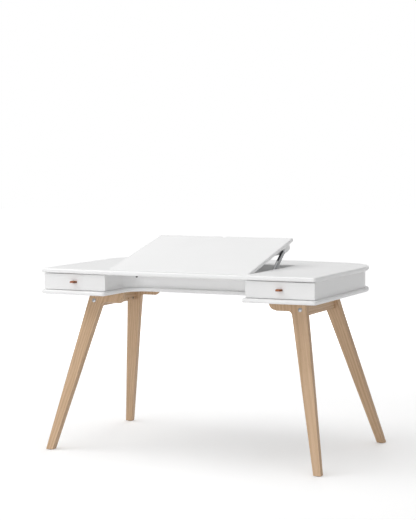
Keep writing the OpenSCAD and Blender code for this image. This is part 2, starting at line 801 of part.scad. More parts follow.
module pocket_screw(end, play) {
    at_pocket(end) cylinder(h = rail_h, r = screw_r + play);
}

// Arm screws stand upright in the arms and reach into the bottom board
arm_screws = [arm_end + screw_inset, arm_end + screw_inset + screw_pitch];
function arm_screw_y(end) = end == "front"
    ? front_leg_back_y(base_z - arm_h / 2) - leg_t / 2 / cos(front_lean)
    : back_leg_front_y(base_z - arm_h / 2) + leg_t / 2 / cos(back_lean);

module frame_screw_shanks(play) {
    intersection() {
        for (s = [-1, 1]) for (end = ["front", "back"]) {
            for (x = arm_screws) translate([s * x, arm_screw_y(end), base_z - arm_h + 9])
                cylinder(h = arm_h - 9 + screw_up, r = screw_r + play);
            mirror([s < 0 ? 1 : 0, 0, 0]) pocket_screw(end, play);
        }
        translate([-top_w, -back_y, 0]) cube([2 * top_w, 3 * back_y, base_z + screw_up]);
    }
}

// Counterbores for the heads of the arm screws
module frame_screw_bores() {
    for (end = ["front", "back"]) for (x = arm_screws)
        translate([x, arm_screw_y(end), base_z - arm_h - 20]) cylinder(h = 30, r = screw_r + 2.2);
}

module frame_screws() {
    color(zinc) set_down() {
        frame_screw_shanks(0);
        for (s = [-1, 1]) for (end = ["front", "back"]) {
            for (x = arm_screws) translate([s * x, arm_screw_y(end), base_z - arm_h + 7])
                cylinder(h = 3, r = screw_r + 2);
            mirror([s < 0 ? 1 : 0, 0, 0]) at_pocket(end) translate([0, 0, -1]) cylinder(h = 3, r = screw_r + 1.5);
        }
    }
}

module leg_bolts() {
    color(zinc) set_down() for (s = ["left", "right"]) on_side(s) for (end = ["front", "back"]) {
        bolts(end, bolt_r, 0, bolt_l);
        bolt_head(end);
    }
}

// Domed head with a hexagon socket, lying on the leg's outer face
module bolt_head(end) {
    lean = end == "front" ? front_lean : -back_lean;
    way = end == "front" ? 0 : 180;
    at_bolt(end, 0) rotate([90 - lean, 0, 0]) rotate([way, 0, 0]) difference() {
        rotate_extrude() polygon([[0, 0], [bolt_head_r, 0], [bolt_head_r, 1], [bolt_head_r - 1.5, 2.6],
            [bolt_head_r - 3, 3.2], [0, 3.2]]);
        translate([0, 0, 1.2]) cylinder(h = 4, r = 2.3, $fn = 6);
    }
}

module cross_nuts() {
    color(dark) set_down() for (s = ["left", "right"]) on_side(s) for (end = ["front", "back"]) difference() {
        at_bolt(end, leg_t + nut_inset) rod(-leg_t / 2 + 0.5, leg_t / 2 - 6, 0, 0, nut_r);
        bolts(end, bolt_r, 0, bolt_l + 20);
    }
}

module foot_glides() {
    color(dark) set_down() for (s = [-1, 1]) {
        translate([s * (front_reach - foot_w / 2), front_foot_y + leg_t / 2 / cos(front_lean) + 1, 0])
            cylinder(h = glide_h, r = glide_r);
        translate([s * (back_reach - foot_w / 2), back_foot_y + leg_t / 2 / cos(back_lean) - 1, 0])
            cylinder(h = glide_h, r = glide_r);
    }
}

top_board();
bottom_board();
side_wall("left");  // side_wall_left
side_wall("right");  // side_wall_right
back_wall();
recess_wall();
partition("left");  // partition_left
partition("right");  // partition_right
divider();
wall_caps();
tilt_panel();
batten("left");  // batten_left
batten("right");  // batten_right
hinge_strip_leaves();
hinge_panel_leaves();
hinge_pins();
stay_plate("left");  // stay_plate_left
stay_plate("right");  // stay_plate_right
stay_channel("left");  // stay_channel_left
stay_channel("right");  // stay_channel_right
stay_rack("left");  // stay_rack_left
stay_rack("right");  // stay_rack_right
stay_stud("left");  // stay_stud_left
stay_stud("right");  // stay_stud_right
stay_pin("left");  // stay_pin_left
stay_pin("right");  // stay_pin_right
drawer_front("left");  // drawer_front_left
drawer_side("left", drawer_x0);  // drawer_side_inner_left
drawer_side("left", drawer_x1 - side_t);  // drawer_side_outer_left
drawer_back("left");  // drawer_back_left
drawer_floor("left");  // drawer_floor_left
drawer_pull("left");  // drawer_pull_left
drawer_pin("left");  // drawer_pin_left
drawer_runners("left");  // drawer_runners_left
drawer_front("right");  // drawer_front_right
drawer_side("right", drawer_x0);  // drawer_side_inner_right
drawer_side("right", drawer_x1 - side_t);  // drawer_side_outer_right
drawer_back("right");  // drawer_back_right
drawer_floor("right");  // drawer_floor_right
drawer_pull("right");  // drawer_pull_right
drawer_pin("right");  // drawer_pin_right
drawer_runners("right");  // drawer_runners_right
leg("left", front_reach, front_foot_y, front_lean);  // leg_front_left
leg("right", front_reach, front_foot_y, front_lean);  // leg_front_right
leg("left", back_reach, back_foot_y, -back_lean);  // leg_back_left
leg("right", back_reach, back_foot_y, -back_lean);  // leg_back_right
rail("left");  // rail_left
rail("right");  // rail_right
leg_bolts();
cross_nuts();
frame_screws();
foot_glides();
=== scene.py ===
# %% [markdown]
# # A white writing desk on splayed oak legs
# The desk has a lacquered body with rounded boards above and below, a drawer on each side,
# and a centre panel that tilts up on two toothed stays. Below it stand four oak legs cut
# like a 7, joined by a rail on each side. This lesson dresses the measured model: each
# solid is copied, its edges are eased the way sandpaper eases them, and it gets a finish
# made of shader nodes. The measured model itself is never moved.
# %% Load the measured model
import json
import math
import bmesh
import bpy
import numpy as np
from mathutils import Matrix, Vector


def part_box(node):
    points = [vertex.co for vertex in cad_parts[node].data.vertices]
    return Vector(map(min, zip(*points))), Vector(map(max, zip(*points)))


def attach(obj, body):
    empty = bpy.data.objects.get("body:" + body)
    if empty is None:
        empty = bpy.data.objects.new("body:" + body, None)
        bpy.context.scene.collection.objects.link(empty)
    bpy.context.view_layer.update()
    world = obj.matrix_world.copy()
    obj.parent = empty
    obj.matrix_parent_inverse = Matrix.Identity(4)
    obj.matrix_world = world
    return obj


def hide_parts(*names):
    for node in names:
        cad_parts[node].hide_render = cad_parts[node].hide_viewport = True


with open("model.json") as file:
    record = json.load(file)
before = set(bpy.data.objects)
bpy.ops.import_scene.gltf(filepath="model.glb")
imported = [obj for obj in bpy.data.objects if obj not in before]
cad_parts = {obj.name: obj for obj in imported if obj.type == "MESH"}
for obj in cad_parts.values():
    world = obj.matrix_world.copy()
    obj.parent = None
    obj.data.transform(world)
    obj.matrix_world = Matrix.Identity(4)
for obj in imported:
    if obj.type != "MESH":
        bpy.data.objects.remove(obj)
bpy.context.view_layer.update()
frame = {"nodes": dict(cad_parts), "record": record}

bodies = frame["record"]["behaviour"]["bodies"]
body_of = {node: body for body, nodes in bodies.items() for node in nodes}

# %% [markdown]
# ## The camera
# The photograph was taken from the right of the sitter, a little above the top. A long lens
# keeps the verticals almost upright. Heading, dip and roll are turned into one matrix, which
# is easier to read than three Euler angles in some order.
# %% Camera
MM = 0.001
LENS_MM = 99.83
CAMERA_SPOT = Vector((2.574, -5.286, 1.224))
HEADING, DIP, ROLL = 26.18, 4.39, -0.35
SIGHT_LIMIT = 60


def aim(heading, dip, roll):
    """Turns a camera that looks along -Z so that it looks along +Y, then by the three angles."""
    around = Matrix.Rotation(math.radians(heading), 4, "Z")
    down = Matrix.Rotation(math.radians(90 - dip), 4, "X")
    return around @ down @ Matrix.Rotation(math.radians(roll), 4, "Z")


scene = bpy.context.scene
camera = bpy.data.objects.new("camera", bpy.data.cameras.new("camera"))
camera.data.lens = LENS_MM
camera.data.clip_end = SIGHT_LIMIT
camera.matrix_world = Matrix.Translation(CAMERA_SPOT) @ aim(HEADING, DIP, ROLL)
scene.collection.objects.link(camera)
scene.camera = camera
gaze = camera.matrix_world.to_3x3() @ Vector((0, 0, -1))
print("camera looks along", [round(v, 3) for v in gaze])

# %% [markdown]
# ## Shader maths that reads like maths
# A shader tree is a sum of small nodes, and writing each one out hides the idea. So a small
# class wraps a socket, and its operators add the Math nodes. `Tree` makes every other node with
# one method: type, settings, then sockets. `Shade` is the tree of one material.
# %% Socket arithmetic
class Value:
    """A socket with one number in it, which can be added, multiplied and so on."""

    def __init__(self, owner, socket):
        self.owner, self.socket = owner, socket

    def math(self, operation, *others):
        """A Math node on this value and then the others."""
        return self.owner.maths(operation, self, *others)

    def __add__(self, other): return self.math("ADD", other)
    def __radd__(self, other): return self.owner.maths("ADD", other, self)
    def __sub__(self, other): return self.math("SUBTRACT", other)
    def __rsub__(self, other): return self.owner.maths("SUBTRACT", other, self)
    def __mul__(self, other): return self.math("MULTIPLY", other)
    def __rmul__(self, other): return self.owner.maths("MULTIPLY", other, self)
    def __truediv__(self, other): return self.math("DIVIDE", other)
    def __rtruediv__(self, other): return self.owner.maths("DIVIDE", other, self)
    def __pow__(self, other): return self.math("POWER", other)
    def __rpow__(self, other): return self.owner.maths("POWER", other, self)

    def ramp(self, low, high):
        """0 below low, 1 above high, smooth between them."""
        settings = {"interpolation_type": "SMOOTHSTEP"}
        sockets = {"Value": self, "From Min": low, "From Max": high}
        made = self.owner.node("ShaderNodeMapRange", settings, sockets)
        return Value(self.owner, made.outputs[0])


class Tree:
    """A node tree that is built call by call."""

    def put(self, socket, value):
        if isinstance(value, Value):
            self.tree.links.new(value.socket, socket)
        elif isinstance(value, bpy.types.NodeSocket):
            self.tree.links.new(value, socket)
        elif isinstance(value, tuple) and len(value) == 3 and socket.type == "RGBA":
            socket.default_value = (*value, 1)
        else:
            socket.default_value = value

    def node(self, kind, settings=None, sockets=None):
        made = self.tree.nodes.new(kind)
        for key, value in (settings or {}).items():
            setattr(made, key, value)
        for key, value in (sockets or {}).items():
            self.put(made.inputs[key], value)
        return made

    def maths(self, operation, *inputs):
        made = self.node("ShaderNodeMath", {"operation": operation}, dict(enumerate(inputs)))
        return Value(self, made.outputs[0])


class Shade(Tree):
    """One material's tree, with its Principled shader as .surface."""

    def __init__(self, name, **sockets):
        self.material = bpy.data.materials.new(name)
        self.material.use_nodes = True
        self.tree = self.material.node_tree
        self.surface = self.tree.nodes["Principled BSDF"]
        self.paint(**sockets)

    def paint(self, **sockets):
        """Sets or links sockets of the shader, with _ for a space in their names."""
        for socket, value in sockets.items():
            self.put(self.surface.inputs[socket.replace("_", " ")], value)

    def place(self, scale=(1, 1, 1), attribute=None):
        """Object coordinates, or a piece's own attribute, stretched by scale."""
        if attribute:
            made = self.node("ShaderNodeAttribute", {"attribute_name": attribute})
            source = made.outputs["Vector"]
        else:
            source = self.node("ShaderNodeTexCoord").outputs["Object"]
        return self.node("ShaderNodeMapping", {}, {"Vector": source, "Scale": scale}).outputs[0]

    def axes(self, vector):
        parts = self.node("ShaderNodeSeparateXYZ", {}, {0: vector})
        return [Value(self, out) for out in parts.outputs]

    def noise(self, vector, scale, detail=3, rough=0.5):
        sockets = {"Vector": vector, "Scale": scale, "Detail": detail, "Roughness": rough}
        return Value(self, self.node("ShaderNodeTexNoise", {}, sockets).outputs["Fac"])

    def mix(self, share, a, b):
        made = self.node("ShaderNodeMix", {"data_type": "RGBA"}, {0: share, 6: a, 7: b})
        return made.outputs[2]

    def bump(self, height, depth, strength):
        sockets = {"Height": height, "Distance": depth, "Strength": strength}
        self.paint(Normal=self.node("ShaderNodeBump", {}, sockets).outputs[0])


print("shader helper ready")

# %% [markdown]
# ## Recipes for pieces that repeat
# Some pieces follow a rule: teeth come one after another, a strap runs round a bend, and screw
# heads sit on the ends of their shafts. Those are made by Geometry Nodes. `Recipe` builds a
# tree with named sizes, and `run` gives it its numbers, evaluates it once and hands back a
# plain mesh, so nothing stays live in the finished model. It is a `Tree` like `Shade`, so the
# same arithmetic works on positions.
# %% Geometry recipes
def evaluated_mesh(thing):
    """A plain mesh of an object as its modifiers leave it."""
    depsgraph = bpy.context.evaluated_depsgraph_get()
    return bpy.data.meshes.new_from_object(thing.evaluated_get(depsgraph))


class Recipe(Tree):
    """A geometry tree with named sizes, run once to make a plain mesh."""

    def __init__(self, name, **sizes):
        self.tree = bpy.data.node_groups.new(name, "GeometryNodeTree")
        self.sizes, self.keys = sizes, {}
        face = self.tree.interface
        face.new_socket("Geometry", in_out="OUTPUT", socket_type="NodeSocketGeometry")
        face.new_socket("Geometry", in_out="INPUT", socket_type="NodeSocketGeometry")
        for size, value in sizes.items():
            kind = "NodeSocketInt" if isinstance(value, int) else "NodeSocketFloat"
            self.keys[size] = face.new_socket(size, in_out="INPUT", socket_type=kind).identifier
        self.start, self.end = self.node("NodeGroupInput"), self.node("NodeGroupOutput")

    def size(self, name):
        return Value(self, self.start.outputs[name])

    def make(self, kind, settings=None, sockets=None):
        return self.node("GeometryNode" + kind, settings, sockets).outputs[0]

    def point(self, x, y, z):
        return self.node("ShaderNodeCombineXYZ", {}, {0: x, 1: y, 2: z}).outputs[0]

    def here(self):
        """The x, y and z of the point that is being worked on."""
        parts = self.node("ShaderNodeSeparateXYZ", {}, {0: self.make("InputPosition")})
        return [Value(self, out) for out in parts.outputs]

    def moved(self, geometry, x, y, z):
        return self.make("SetPosition", {}, {"Geometry": geometry, "Position": self.point(x, y, z)})

    def joined(self, *parts):
        whole = self.node("GeometryNodeJoinGeometry")
        for part in parts:
            self.put(whole.inputs[0], part)
        return whole.outputs[0]

    def close(self, *parts):
        whole = self.make("RealizeInstances", {}, {"Geometry": self.joined(*parts)})
        self.coat = self.node("GeometryNodeSetMaterial", {}, {"Geometry": whole})
        self.put(self.end.inputs[0], self.coat.outputs[0])
        return self

    def run(self, finish, spots=(), aims=(), **sizes):
        """Runs the tree on a cloud of spots, each with an aim, and returns a plain mesh."""
        cloud = bpy.data.meshes.new(self.tree.name)
        cloud.from_pydata([tuple(spot) for spot in spots], [], [])
        aim_of = cloud.attributes.new("aim", "FLOAT_VECTOR", "POINT")
        aim_of.data.foreach_set("vector", [v for aim_at in aims for v in aim_at])
        self.coat.inputs["Material"].default_value = finish
        thing = bpy.data.objects.new(self.tree.name, cloud)
        scene.collection.objects.link(thing)
        made = thing.modifiers.new("recipe", "NODES")
        made.node_group = self.tree
        for size, value in {**self.sizes, **sizes}.items():
            made[self.keys[size]] = value
        mesh = evaluated_mesh(thing)
        bpy.data.objects.remove(thing)
        return mesh


print("recipe helper ready")

# %% [markdown]
# ## The toothed bar
# The bar is a box with three columns of points for each tooth: foot, tip and foot again. Every
# point knows its column from its own place in the unit box, so one formula lays out all the
# teeth. A tooth starts and peaks at a set share of its pitch. A ring at the end is the eye that
# turns on the stud, and the box starts a little way inside it.
# %% Toothed bar
TOOTH_FOOT, TOOTH_TIP = 0.1, 0.75
EYE_SEAT = 1.2 * MM


def rack_recipe():
    bar = Recipe("toothed bar", Teeth=13, Pitch=8 * MM, Tooth=4 * MM, Root=3.9 * MM,
                 Floor=-6.1 * MM, Start=16 * MM, Length=126 * MM, Width=6.8 * MM,
                 Eye=7 * MM, Bore=3 * MM)
    last = bar.size("Teeth") * 3 + 1
    sockets = {"Size": (1, 1, 1), "Vertices X": last + 1, "Vertices Y": 2, "Vertices Z": 2}
    grid = bar.make("MeshCube", {}, sockets)
    x, y, z = bar.here()
    column = ((x + 0.5) * last).math("ROUND")
    tooth = ((column - 1) / 3).math("FLOOR")
    phase = column - 1 - tooth * 3
    share = (phase * (TOOTH_TIP - TOOTH_FOOT) + TOOTH_FOOT).math("MINIMUM", 1.0)
    run = bar.size("Start") + (tooth + share) * bar.size("Pitch")
    at_end = column.math("GREATER_THAN", last - 0.5)
    at_eye = column.math("LESS_THAN", 0.5)
    run = run + at_end * (bar.size("Length") - run)
    run = run + at_eye * (bar.size("Bore") + EYE_SEAT - run)
    peak = 1 - (phase - 1).math("ABSOLUTE")
    upper = bar.size("Root") + peak * bar.size("Tooth") * (1 - at_eye)
    top = z.math("GREATER_THAN", 0.0)
    height = bar.size("Floor") + top * (upper - bar.size("Floor"))
    body = bar.moved(grid, 0 - y * bar.size("Width"), run, height)
    middle = (bar.size("Eye") + bar.size("Bore")) * 0.5
    ring = bar.make("CurvePrimitiveCircle", {}, {"Resolution": 48, "Radius": middle})
    sockets = {"Width": bar.size("Eye") - bar.size("Bore"), "Height": bar.size("Width")}
    edge = bar.make("CurvePrimitiveQuadrilateral", {}, sockets)
    eye = bar.make("CurveToMesh", {}, {"Curve": ring, "Profile Curve": edge})
    eye = bar.make("Transform", {}, {"Geometry": eye, "Rotation": (0, math.pi / 2, 0)})
    return bar.close(body, eye)


RACK = rack_recipe()
print("recipe", RACK.tree.name, "has", len(RACK.tree.nodes), "nodes")

# %% [markdown]
# ## The folded strap
# The pull is a strip of leather that runs forward, turns round a half circle and runs back.
# The recipe lays a line of points along that path by their distance from the middle, and then
# pushes a rounded slab along it. Towards the nose the strip narrows, as a pull cut from hide
# does, and the fold is pinched flat. Both start a few bend radii behind the nose.
# %% Folded strap
STRAP_EDGE = 0.3
NOSE_FULL, NOSE_NONE = -1.5, 3


def strap_recipe():
    strap = Recipe("folded strap", Width=23 * MM, Thickness=2.2 * MM, Gap=2.8 * MM, Reach=45 * MM,
                   Taper=0.35, Pinch=0.3, Steps=61)
    bend = (strap.size("Gap") + strap.size("Thickness")) * 0.5
    index = Value(strap, strap.make("InputIndex"))
    run = (index / (strap.size("Steps") - 1) - 0.5) * (strap.size("Reach") * 2 + bend * math.pi)
    limit = bend * (math.pi / 2)
    turn = run.math("MAXIMUM", 0 - limit).math("MINIMUM", limit)
    past = run.math("ABSOLUTE") - turn.math("ABSOLUTE")
    angle = turn / bend
    line = strap.make("MeshLine", {}, {"Count": strap.size("Steps")})
    forward, aside = bend * angle.math("COSINE"), bend * angle.math("SINE")
    path = strap.moved(line, past - forward, aside, 0.0)
    curve = strap.make("MeshToCurve", {}, {"Mesh": path})
    curve = strap.make("SetCurveNormal", {"mode": "Z_UP"}, {"Curve": curve})
    sockets = {"Width": strap.size("Thickness"), "Height": strap.size("Width")}
    slab = strap.make("CurvePrimitiveQuadrilateral", {}, sockets)
    sockets = {"Curve": slab, "Radius": strap.size("Thickness") * STRAP_EDGE, "Count": 3}
    slab = strap.make("FilletCurve", {"mode": "POLY"}, sockets)
    sockets = {"Curve": curve, "Profile Curve": slab, "Fill Caps": True}
    tube = strap.make("CurveToMesh", {}, sockets)
    x, y, z = strap.here()
    nose = 1 - x.ramp(bend * NOSE_FULL, bend * NOSE_NONE)
    narrow, flat = 1 - strap.size("Taper") * nose, 1 - strap.size("Pinch") * nose
    return strap.close(strap.moved(tube, z * narrow, x, y * flat))


STRAP = strap_recipe()
print("recipe", STRAP.tree.name, "has", len(STRAP.tree.nodes), "nodes")

# %% [markdown]
# ## Bolt and screw heads
# A head is a disc whose top is pressed into a dome, with a hexagon cut out for the key. One
# head on its shank is made, and then it is set down on every spot, pointing along that spot's
# aim. No fitter leaves all sockets lined up, so each is spun by a random angle. The seeds are
# fixed, but which shaft gets which seed can change from run to run. The rim draws in and drops
# by a share of the head's own radius and height.
# %% Heads on their shafts
HEAD_SIDES, SHANK_SIDES = 40, 24
RIM_DRAWN_IN, RIM_DROP = 0.18, 0.35
SOCKET_SEAT = 0.9
SHANK_OVERLAP = 0.2 * MM


def head_recipe():
    head = Recipe("screw heads", Radius=7 * MM, Height=3.2 * MM, Socket=2.3 * MM, Shank=3 * MM,
                  Length=60 * MM, Seed=7)
    tall, wide = head.size("Height"), head.size("Radius")
    sockets = {"Vertices": HEAD_SIDES, "Side Segments": 3, "Fill Segments": 6}
    disc = head.make("MeshCylinder", {}, {**sockets, "Radius": wide, "Depth": tall})
    x, y, z = head.here()
    up = z / tall + 0.5
    out = ((x * x + y * y) ** 0.5) / wide
    pull_in = 1 - up * up * out * RIM_DRAWN_IN
    height = up * tall * (1 - out * out * up * RIM_DROP)
    domed = head.moved(disc, x * pull_in, y * pull_in, height)
    sockets = {"Vertices": 6, "Radius": head.size("Socket"), "Depth": tall}
    key = head.make("MeshCylinder", {}, sockets)
    seat = head.point(0.0, 0.0, tall * SOCKET_SEAT)
    key = head.make("Transform", {}, {"Geometry": key, "Translation": seat})
    cut = head.node("GeometryNodeMeshBoolean", {"operation": "DIFFERENCE"}, {0: domed, 1: key})
    long = head.size("Length")
    sockets = {"Vertices": SHANK_SIDES, "Radius": head.size("Shank"), "Depth": long}
    shank = head.make("MeshCylinder", {}, sockets)
    low = head.point(0.0, 0.0, SHANK_OVERLAP - long * 0.5)
    shank = head.make("Transform", {}, {"Geometry": shank, "Translation": low})
    bolt = head.joined(cut.outputs[0], shank)
    aim_at = head.make("InputNamedAttribute", {"data_type": "FLOAT_VECTOR"}, {"Name": "aim"})
    lean = head.node("FunctionNodeAlignRotationToVector", {"axis": "Z"}, {"Vector": aim_at})
    sockets = {2: 0.0, 3: 2 * math.pi, "Seed": head.size("Seed")}
    chance = head.node("FunctionNodeRandomValue", {"data_type": "FLOAT"}, sockets)
    sockets = {"Axis": (0, 0, 1), "Angle": chance.outputs[1]}
    spin = head.node("FunctionNodeAxisAngleToRotation", {}, sockets)
    sockets = {0: lean.outputs[0], 1: spin.outputs[0]}
    turn = head.node("FunctionNodeRotateRotation", {"rotation_space": "LOCAL"}, sockets)
    sockets = {"Points": head.start.outputs["Geometry"], "Instance": bolt}
    sockets["Rotation"] = turn.outputs[0]
    return head.close(head.make("InstanceOnPoints", {}, sockets))


HEADS = head_recipe()
print("recipe", HEADS.tree.name, "has", len(HEADS.tree.nodes), "nodes")

# %% [markdown]
# ## White lacquer
# The boards are sprayed with a satin white lacquer. Up close it has a faint orange peel, a
# ripple of about 2 mm, and its gloss drifts a little from place to place. The ripple goes
# into the normal and the drift into the roughness, while the colour stays almost even.
# %% White lacquer
RIPPLES, CLOUDS = 420, 5
CLOUD_SHADE = 0.985
ORANGE_PEEL = 0.04 * MM


def lacquer(name, white):
    coat = Shade(name, IOR=1.5)
    spot = coat.place()
    ripple = coat.noise(spot, RIPPLES, 2)
    cloud = coat.noise(spot, CLOUDS, 3)
    shaded = tuple(v * CLOUD_SHADE for v in white)
    coat.paint(Base_Color=coat.mix(cloud.ramp(0.3, 0.7), shaded, white),
               Roughness=0.36 + cloud * 0.08 + ripple * 0.03)
    coat.bump(ripple, ORANGE_PEEL, 0.5)
    return coat.material


WHITE = lacquer("white lacquer", (0.83, 0.83, 0.83))
# The panel's lacquer is the same white made a shade darker: painted shade that tones down the
# tilted panel.
PANEL_SHADED_WHITE = lacquer("panel lacquer with painted shade", (0.82, 0.82, 0.82))
print("finish", WHITE.name, "and", PANEL_SHADED_WHITE.name)

# %% [markdown]
# ## Oak
# Oak has three layers of pattern. Growth rings show as wide bands that bend into pointed
# arches on a flat face, pores show as short dark strokes along the grain, and pale rays cross
# it as small flecks. All three are stretched along the board, so the finish reads an attribute
# called grain, in metres: across the board, through it, and along it. The rings are circles
# round a pith that lies below the face, slants and wanders, one for about every 10 mm.
# %% Oak
OAK_PALE = (0.61, 0.430, 0.282)
OAK_DEEP = (0.455, 0.297, 0.174)
OAK_PORE = (0.30, 0.185, 0.105)
PITH_DEPTH, PITH_WANDER, PITH_SLANT = 35 * MM, 55 * MM, 0.012
RING_RATE = 620
WANDER, STREAKS, PORES, RAYS = (9, 9, 1.6), (260, 260, 4.5), (1500, 1500, 42), (900, 260, 150)
PORE_DEPTH = 0.15 * MM


def oak_finish():
    oak = Shade("oiled oak", IOR=1.45)
    across, through, along = oak.axes(oak.place(attribute="grain"))
    wander = oak.noise(oak.place(WANDER, "grain"), 1.0, 3)
    aside = across + (wander - 0.5) * PITH_WANDER + along * PITH_SLANT
    below = through + PITH_DEPTH
    rings = ((aside * aside + below * below) ** 0.5) * RING_RATE
    band = rings.math("SINE").ramp(-0.5, 1.0)
    streak = oak.noise(oak.place(STREAKS, "grain"), 1.0, 4, 0.6)
    pores = oak.noise(oak.place(PORES, "grain"), 1.0, 2, 0.6).ramp(0.60, 0.70)
    flecks = oak.noise(oak.place(RAYS, "grain"), 1.0, 1).ramp(0.68, 0.76)
    tone = band * 0.45 + streak.ramp(0.3, 0.7) * 0.55
    wood = oak.mix(flecks * 0.30, oak.mix(tone, OAK_PALE, OAK_DEEP), OAK_PALE)
    oak.paint(Base_Color=oak.mix(pores * (0.35 + band * 0.4), wood, OAK_PORE),
              Roughness=0.50 + pores * 0.22 + streak * 0.08)
    oak.bump(1 - pores * 0.8 - band * 0.1, PORE_DEPTH, 0.6)
    return oak.material


OAK = oak_finish()
print("finish", OAK.name)

# %% [markdown]
# ## Birch, leather and steel
# Drawer boxes are birch plywood, whose pale veneers show as fine lines on the top edges. The
# pulls are vegetable tanned leather with a pebbled grain. The fittings are zinc plated steel
# with faint brush marks, and the stays' channels are a duller, darker sheet.
# %% Birch plywood
BIRCH_PALE = (0.74, 0.62, 0.46)
BIRCH_DEEP = (0.62, 0.49, 0.33)
GLUE_LINE = (0.42, 0.30, 0.18)
VENEER_RATE = 4400
VENEER_STREAKS = (60, 3, 90)
VENEER_DEPTH = 0.05 * MM


def birch_finish():
    birch = Shade("birch plywood", IOR=1.45)
    across = birch.axes(birch.place())[0]
    streak = birch.noise(birch.place(VENEER_STREAKS), 1.0, 4, 0.6)
    ply = (across * VENEER_RATE).math("SINE").ramp(-0.2, 0.6)
    wood = birch.mix(streak.ramp(0.3, 0.75), BIRCH_PALE, BIRCH_DEEP)
    birch.paint(Base_Color=birch.mix(ply * 0.16, wood, GLUE_LINE),
                Roughness=0.42 + streak * 0.15)
    birch.bump(streak, VENEER_DEPTH, 0.5)
    return birch.material


BIRCH = birch_finish()
print("finish", BIRCH.name)

# %% Leather
HIDE_PALE = (0.52, 0.170, 0.052)
HIDE_DEEP = (0.42, 0.125, 0.038)
# The crease colour is painted shade, laid in the grooves of the pebbled grain.
HIDE_CREASE_SHADE = (0.24, 0.075, 0.028)
PEBBLES, PATCHES = 900, 60
CREASE_DEPTH = 0.15 * MM


def leather_finish():
    hide = Shade("tan leather", IOR=1.45)
    spot = hide.place()
    sockets = {"Vector": spot, "Scale": PEBBLES}
    cells = hide.node("ShaderNodeTexVoronoi", {"feature": "DISTANCE_TO_EDGE"}, sockets)
    pebble = Value(hide, cells.outputs["Distance"]).ramp(0.0, 0.22)
    patina = hide.noise(spot, PATCHES, 4)
    tan = hide.mix(patina.ramp(0.3, 0.7), HIDE_PALE, HIDE_DEEP)
    # Darker in the grain's grooves: painted shade on top of the bump.
    hide.paint(Base_Color=hide.mix(1 - pebble, tan, HIDE_CREASE_SHADE),
               Roughness=0.62 - pebble * 0.12 + patina * 0.06)
    hide.bump(pebble + patina * 0.5, CREASE_DEPTH, 0.7)
    return hide.material


LEATHER = leather_finish()
print("finish", LEATHER.name)

# %% Steel and plastic
BRUSH_MARKS, STEEL_CLOUDS = (500, 60, 500), 90
STEEL_SHADE = 0.84
BRUSH_DEPTH = 0.02 * MM
PLASTIC_TONE, SPECK_GAIN = (0.035, 0.034, 0.033), 1.5
PLASTIC_GRAIN, GRAIN_DEPTH = 1500, 0.04 * MM


def plated_steel(name, bright, rough, metal=1.0):
    steel = Shade(name, Metallic=metal)
    brush = steel.noise(steel.place(BRUSH_MARKS), 1.0, 3)
    cloud = steel.noise(steel.place(), STEEL_CLOUDS, 2)
    shaded = tuple(v * STEEL_SHADE for v in bright)
    steel.paint(Base_Color=steel.mix(cloud, bright, shaded), Roughness=rough + brush * 0.16)
    steel.bump(brush, BRUSH_DEPTH, 0.4)
    return steel.material


def plastic_finish():
    dark = Shade("dark plastic", IOR=1.5)
    speck = dark.noise(dark.place(), PLASTIC_GRAIN, 2)
    lit = tuple(v * SPECK_GAIN for v in PLASTIC_TONE)
    dark.paint(Base_Color=dark.mix(speck, PLASTIC_TONE, lit), Roughness=0.5 + speck * 0.12)
    dark.bump(speck, GRAIN_DEPTH, 0.5)
    return dark.material


ZINC = plated_steel("zinc plated steel", (0.72, 0.73, 0.75), 0.24)
DULL_STEEL = plated_steel("dull steel", (0.43, 0.44, 0.45), 0.30)
BOLT_STEEL = plated_steel("bolt steel", (0.50, 0.515, 0.54), 0.34)
# The bar's zinc is paler and half diffuse: zinc plate with a painted sheen that stands in for the
# bright glints on its teeth.
ZINC_WITH_PAINTED_SHEEN = plated_steel("zinc with painted sheen", (0.86, 0.87, 0.88), 0.34, 0.45)
PLASTIC = plastic_finish()
print("finishes", [made.name for made in (ZINC, DULL_STEEL, BOLT_STEEL, ZINC_WITH_PAINTED_SHEEN, PLASTIC)])

# %% [markdown]
# ## One way to dress a solid
# A solid from the measured model has knife edges and loose triangles. A copy of it is merged,
# its flat faces are joined again, and a small bevel eases each sharp edge, because no real
# edge is perfectly sharp and the bevel is what catches the light. Weighted normals then keep
# the large faces flat. The copy replaces the solid and rides on the same body.
# %% Dress a solid
MERGE = 0.002 * MM
FLAT = math.radians(0.3)
SHARP_BEYOND = 8
FACE_WEIGHT = 90


def joined_copy(node):
    """The solid's mesh with its triangles merged and its flat faces whole."""
    mesh = frame["nodes"][node].data.copy()
    work = bmesh.new()
    work.from_mesh(mesh)
    bmesh.ops.remove_doubles(work, verts=work.verts, dist=MERGE)
    bmesh.ops.dissolve_limit(work, angle_limit=FLAT, verts=work.verts, edges=work.edges)
    work.to_mesh(mesh)
    work.free()
    mesh.materials.clear()
    return mesh


def freeze(thing):
    """Turns the modifiers of an object into a plain mesh."""
    mesh = evaluated_mesh(thing)
    thing.modifiers.clear()
    thing.data = mesh


def dress(node, finish, ease=1.0, steps=2, smooth=32, mesh=None):
    """Replaces a solid by a copy with its edges eased by so many mm, or by the mesh given. An
    edge that turns by more than smooth degrees counts as sharp."""
    thing = bpy.data.objects.new(node + "_piece", mesh or joined_copy(node))
    scene.collection.objects.link(thing)
    if ease:
        bevel = thing.modifiers.new("ease", "BEVEL")
        bevel.width = ease * MM
        bevel.segments = steps
        bevel.limit_method = "ANGLE"
        bevel.angle_limit = math.radians(smooth)
    freeze(thing)
    thing.data.shade_smooth()
    thing.data.set_sharp_from_angle(angle=math.radians(smooth + SHARP_BEYOND))
    weighted = thing.modifiers.new("weighted", "WEIGHTED_NORMAL")
    weighted.keep_sharp = True
    weighted.weight = FACE_WEIGHT
    freeze(thing)
    thing.data.materials.clear()
    thing.data.materials.append(finish)
    thing.data.polygons.foreach_set("material_index", [0] * len(thing.data.polygons))
    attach(thing, body_of[node])
    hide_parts(node)
    return thing


both = ("left", "right")
print("dressing ready")
